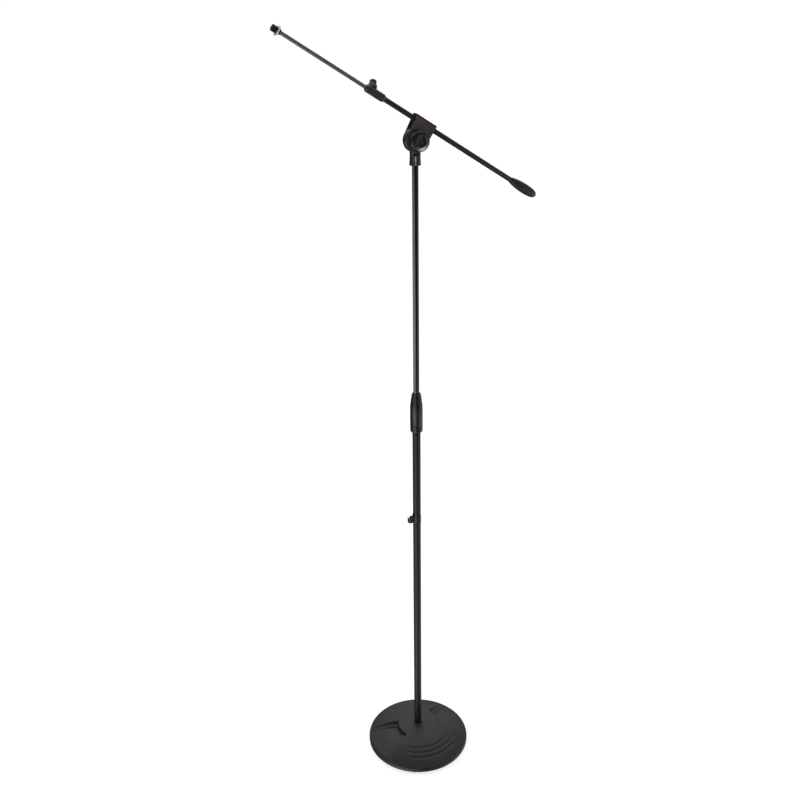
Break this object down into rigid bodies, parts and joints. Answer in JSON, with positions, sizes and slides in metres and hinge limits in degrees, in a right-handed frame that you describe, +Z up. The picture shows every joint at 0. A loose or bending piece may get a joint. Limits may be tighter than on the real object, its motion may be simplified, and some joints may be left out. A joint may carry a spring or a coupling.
{
  "type": "boom microphone stand",
  "caption": "Boom microphone stand: heavy domed round base, telescopic mast with a twist clutch, tilting head clamp and a telescopic boom with a threaded microphone mount.",
  "frame": {"origin": "centre of the round base on the floor, on the mast axis", "axes": "+Z up along the mast; the boom lies in the XZ plane with its microphone end towards -X; the tilt knob is on the -Y side"},
  "size_m": [0.691, 0.305, 2.1139],
  "materials": {
    "base_paint": "satin black crinkle paint over cast iron",
    "rubber": "matte",
    "zinc_steel": "bright zinc plate",
    "lower_tube_paint": "satin black powder coat",
    "upper_tube_paint": "semi-gloss black",
    "nylon": "natural nylon",
    "grip_plastic": "semi-gloss black",
    "clip_plastic": "matte black",
    "head_paint": "gloss black enamel over die-cast zinc",
    "bracket_paint": "semi-gloss black enamel over pressed steel",
    "knob_plastic": "gloss black",
    "brass": "turned",
    "boom_outer_paint": "semi-gloss black",
    "boom_inner_paint": "dark grey satin",
    "end_grip_vinyl": "smooth black vinyl",
    "clamp_plastic": "moulded black nylon",
    "thread_steel": "blackened steel thread",
    "nickel": "knurled bright nickel plate"
  },
  "bodies": {
    "stand": {"base_casting": "base_paint", "base_pads": "rubber", "base_washer": "zinc_steel", "base_nut": "zinc_steel", "tube_foot_insert": "zinc_steel", "lower_tube": "lower_tube_paint", "clutch_sleeve": "zinc_steel"},
    "collet": {"clutch_collet": "nylon"},
    "clutch": {"clutch_grip": "grip_plastic"},
    "cable_clip": {"cable_clip": "clip_plastic"},
    "mast": {"upper_tube": "upper_tube_paint", "upper_tube_guide": "nylon", "tube_top_plug": "zinc_steel", "head_body": "head_paint", "head_set_screw": "zinc_steel", "friction_disc_front": "nylon", "friction_disc_rear": "nylon"},
    "bracket": {"boom_bracket": "bracket_paint", "saddle_front": "clip_plastic", "saddle_rear": "clip_plastic", "tilt_bolt": "zinc_steel", "tilt_washer": "zinc_steel"},
    "tilt_knob": {"tilt_knob": "knob_plastic", "knob_insert": "brass", "knob_cap": "knob_plastic"},
    "boom_bush": {"boom_bush": "nylon"},
    "boom_outer": {"boom_outer_tube": "boom_outer_paint", "boom_end_plug": "clip_plastic", "boom_end_grip": "end_grip_vinyl", "telescope_clamp": "clamp_plastic", "clamp_nut": "brass", "pressure_pad": "nylon"},
    "thumbscrew": {"thumbscrew_stud": "zinc_steel", "thumbscrew_knob": "knob_plastic"},
    "boom_inner": {"boom_inner_tube": "boom_inner_paint", "inner_tube_guide": "nylon", "thread_adapter": "thread_steel"},
    "lock_ring": {"lock_ring": "nickel"}
  },
  "joints": [
    {"name": "mast_turn", "type": "hinge", "parent": "stand", "child": "collet", "pos_m": [0, 0, 1.12], "axis": [0, 0, 1], "continuous": true},
    {"name": "mast_height", "type": "slide", "parent": "collet", "child": "mast", "axis": [0, 0, 1], "range_m": [-0.59, 0.15]},
    {"name": "clutch_turn", "type": "hinge", "parent": "stand", "child": "clutch", "pos_m": [0, 0, 1.1275], "axis": [0, 0, 1], "range_deg": [0, 180]},
    {"name": "cable_clip_slide", "type": "slide", "parent": "stand", "child": "cable_clip", "axis": [0, 0, 1], "range_m": [-0.65, 0.22]},
    {"name": "boom_tilt", "type": "hinge", "parent": "mast", "child": "bracket", "pos_m": [0, 0, 1.844], "axis": [0, 1, 0], "range_deg": [-92, 56]},
    {"name": "tilt_knob_turn", "type": "hinge", "parent": "bracket", "child": "tilt_knob", "pos_m": [0, 0, 1.844], "axis": [0, -1, 0], "range_deg": [0, 360]},
    {"name": "boom_roll", "type": "hinge", "parent": "bracket", "child": "boom_bush", "pos_m": [0.02211, 0, 1.87912], "axis": [-0.8462, 0, 0.5329], "continuous": true},
    {"name": "boom_slide", "type": "slide", "parent": "boom_bush", "child": "boom_outer", "axis": [-0.8462, 0, 0.5329], "range_m": [-0.07, 0.24]},
    {"name": "boom_extend", "type": "slide", "parent": "boom_outer", "child": "boom_inner", "axis": [-0.8462, 0, 0.5329], "range_m": [-0.215, 0.1]},
    {"name": "thumbscrew_turn", "type": "hinge", "parent": "boom_outer", "child": "thumbscrew", "pos_m": [-0.11031, 0, 1.96251], "axis": [0.4256, 0.6018, 0.6758], "range_deg": [0, 720]},
    {"name": "lock_ring_turn", "type": "hinge", "parent": "boom_inner", "child": "lock_ring", "pos_m": [-0.32872, 0, 2.10005], "axis": [-0.8462, 0, 0.5329], "range_deg": [0, 720]}
  ]
}
